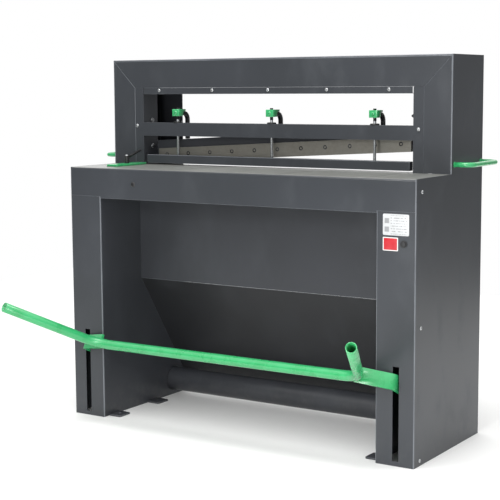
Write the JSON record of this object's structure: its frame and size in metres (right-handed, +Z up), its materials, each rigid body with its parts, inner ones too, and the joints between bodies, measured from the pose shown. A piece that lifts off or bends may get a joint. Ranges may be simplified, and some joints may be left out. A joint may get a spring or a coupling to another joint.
{
  "type": "treadle sheet metal shear",
  "caption": "Foot-operated sheet metal shear: sheet-steel frame with table, raked knife beam, sprung hold-down bar and a U-shaped treadle bar.",
  "frame": {"origin": "bottom centre of the whole outline on the floor, with the treadle bar and side handles", "axes": "+X along the knives to the right as the operator faces the table, +Y to the rear, +Z up"},
  "size_m": [1.498, 0.8926, 1.28],
  "materials": {
    "casing_paint": "satin dark slate grey paint",
    "inner_paint": "satin dark grey paint",
    "green_paint": "gloss green paint",
    "knife_steel": "ground tool steel",
    "bright_steel": "zinc plated",
    "black_steel": "black oxide",
    "black_plastic": "moulded black plastic",
    "cast_iron": "as cast, dark"
  },
  "bodies": {
    "frame": {"guard_plate": "casing_paint", "left_column_back": "inner_paint", "left_column_front": "casing_paint", "left_front_floor_lug": "inner_paint", "left_guide_rail": "bright_steel", "left_inner_sheet": "inner_paint", "left_leg_front": "casing_paint", "left_leg_rear_cover": "casing_paint", "left_rear_floor_lug": "inner_paint", "left_side_handle": "green_paint", "left_side_sheet": "casing_paint", "left_tube_bearing": "cast_iron", "leg_plug": "black_plastic", "lower_chute_panel": "inner_paint", "lower_knife": "knife_steel", "right_column_back": "inner_paint", "right_column_front": "casing_paint", "right_front_floor_lug": "inner_paint", "right_guide_rail": "bright_steel", "right_inner_sheet": "inner_paint", "right_leg_front": "casing_paint", "right_leg_rear_cover": "casing_paint", "right_rear_floor_lug": "inner_paint", "right_side_handle": "green_paint", "right_side_sheet": "casing_paint", "right_tube_bearing": "cast_iron", "screw_strip": "casing_paint", "side_stop_bar": "green_paint", "table_and_apron": "casing_paint", "table_beam": "inner_paint", "top_cover": "casing_paint", "top_front_panel": "casing_paint", "upper_chute_panel": "inner_paint"},
    "treadle": {"torque_tube": "inner_paint", "left_lever_arm": "green_paint", "right_lever_arm": "green_paint", "treadle_bar": "green_paint"},
    "knife_beam_body": {"knife_beam": "inner_paint", "upper_knife": "knife_steel", "lift_arm_1": "black_steel", "lift_arm_2": "black_steel", "lift_arm_3": "black_steel", "left_slide_block": "cast_iron", "right_slide_block": "cast_iron", "left_return_spring": "bright_steel", "right_return_spring": "bright_steel"},
    "hold_down": {"hold_down_bar": "casing_paint", "hold_down_rod_1": "bright_steel", "hold_down_rod_2": "bright_steel", "hold_down_rod_3": "bright_steel", "rod_clamp_1": "green_paint", "rod_clamp_2": "green_paint", "rod_clamp_3": "green_paint", "rod_spring_1": "bright_steel", "rod_spring_2": "bright_steel", "rod_spring_3": "bright_steel"},
    "left_pull_rod_body": {"left_pull_rod": "bright_steel"},
    "right_pull_rod_body": {"right_pull_rod": "bright_steel"},
    "stop_lever": {"clamp_lever": "black_plastic"}
  },
  "joints": [
    {"name": "treadle_hinge", "type": "hinge", "parent": "frame", "child": "treadle", "pos_m": [0, 0.37028, 0.062], "axis": [1, 0, 0], "range_deg": [0, 22], "stiffness_Nm_per_rad": 220, "springref_deg": -51.57},
    {"name": "knife_slide", "type": "slide", "parent": "frame", "child": "knife_beam_body", "axis": [0, 0, -1], "range_m": [0, 0.0721], "deforming": ["left_return_spring", "right_return_spring"]},
    {"name": "hold_down_slide", "type": "slide", "parent": "frame", "child": "hold_down", "axis": [0, 0, -1], "range_m": [0, 0.0056], "deforming": ["rod_spring_1", "rod_spring_2", "rod_spring_3"]},
    {"name": "left_rod_pivot", "type": "hinge", "parent": "treadle", "child": "left_pull_rod_body", "pos_m": [-0.603, 0.19428, 0.14595], "axis": [1, 0, 0], "range_deg": [-23.5, 0]},
    {"name": "right_rod_pivot", "type": "hinge", "parent": "treadle", "child": "right_pull_rod_body", "pos_m": [0.603, 0.19428, 0.14595], "axis": [1, 0, 0], "range_deg": [-23.5, 0]},
    {"name": "stop_lever_turn", "type": "hinge", "parent": "frame", "child": "stop_lever", "pos_m": [-0.546, 0.09528, 0.922], "axis": [0, 0, 1], "range_deg": [-90, 60]}
  ],
  "couplings": [
    {"joint": "knife_slide", "follows": "treadle_hinge", "m_per_rad": 0.1875},
    {"joint": "hold_down_slide", "follows": "treadle_hinge", "m_per_rad": 0.0143},
    {"joint": "left_rod_pivot", "follows": "treadle_hinge", "ratio": -1.06},
    {"joint": "right_rod_pivot", "follows": "treadle_hinge", "ratio": -1.06}
  ]
}
